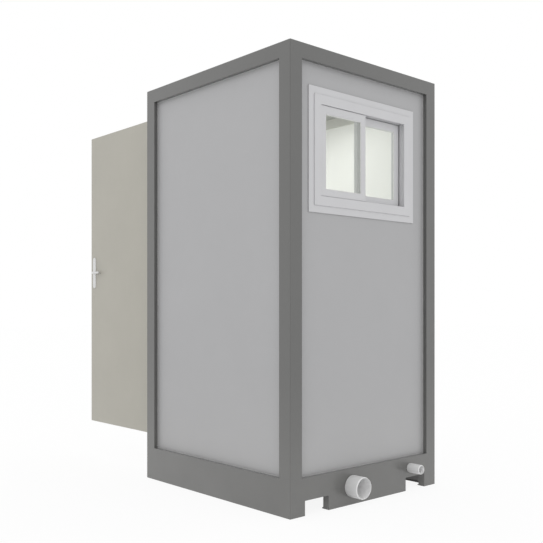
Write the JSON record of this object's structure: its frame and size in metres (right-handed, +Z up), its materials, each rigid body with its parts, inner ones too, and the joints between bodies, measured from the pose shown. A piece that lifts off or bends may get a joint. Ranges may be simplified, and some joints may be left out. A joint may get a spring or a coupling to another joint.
{
  "type": "portable toilet cabin",
  "caption": "Portable toilet cabin with a folded steel frame, plain sandwich walls, a sliding window, a hinged door with lever handles, lift openings and pipe stubs.",
  "frame": {"origin": "On the ground, at the middle of the whole box with the door open at a right angle, so the cabin's own walls run from y = -0.254 m (doorway) to y = 1.126 m (window wall) and are centred on x = 0.", "axes": "+Z up, +Y out through the rear wall that holds the window and the pipe stubs, -Y out through the doorway, +X to the right for a person facing the doorway."},
  "size_m": [1.26, 2.432, 2.54],
  "materials": {
    "frame_paint": "satin",
    "wall_paint": "satin",
    "glass": "clear",
    "window_plastic": "satin",
    "floor_wood": "matt",
    "floor_plastic": "matt",
    "pipe_plastic": "satin",
    "door_paint": "satin",
    "handle_metal": "satin"
  },
  "bodies": {
    "cabin": {"base_rail_front": "frame_paint", "base_rail_rear": "frame_paint", "base_rail_left": "frame_paint", "base_rail_right": "frame_paint", "floor_joists": "frame_paint", "floor_board": "floor_wood", "floor_covering": "floor_plastic", "corner_post_front_left": "frame_paint", "corner_post_front_right": "frame_paint", "corner_post_rear_left": "frame_paint", "corner_post_rear_right": "frame_paint", "roof_rail_front": "frame_paint", "roof_rail_rear": "frame_paint", "roof_rail_left": "frame_paint", "roof_rail_right": "frame_paint", "ceiling_panel": "wall_paint", "ceiling_trim": "frame_paint", "roof_sheet": "wall_paint", "left_wall": "wall_paint", "right_wall": "wall_paint", "rear_wall": "wall_paint", "front_wall_left": "wall_paint", "front_wall_right": "wall_paint", "front_wall_top": "wall_paint", "door_jamb_hinge_side": "frame_paint", "door_jamb_lock_side": "frame_paint", "door_head": "frame_paint", "door_sill": "handle_metal", "window_frame": "window_plastic", "window_inner_trim": "window_plastic", "window_sash_left": "window_plastic", "window_sash_right": "window_plastic", "window_glass_left": "glass", "window_glass_right": "glass", "drain_stub": "pipe_plastic", "water_stub": "pipe_plastic", "frame_hinge_halves": "handle_metal"},
    "door": {"door_leaf": "door_paint", "door_hinge_halves": "handle_metal", "backplate_outside": "handle_metal", "backplate_inside": "handle_metal", "lock_faceplate": "handle_metal"},
    "lever": {"lever_outside": "handle_metal", "lever_inside": "handle_metal", "spindle": "handle_metal"}
  },
  "joints": [
    {"name": "door_hinge", "type": "hinge", "parent": "cabin", "child": "door", "pos_m": [0.517, -0.236, 1.33], "axis": [0, 0, 1], "range_deg": [-90, 50]},
    {"name": "lever_turn", "type": "hinge", "parent": "door", "child": "lever", "pos_m": [0.487, -1.166, 1.38], "axis": [-1, 0, 0], "range_deg": [0, 40], "stiffness_Nm_per_rad": 2, "springref_deg": -11.46}
  ]
}
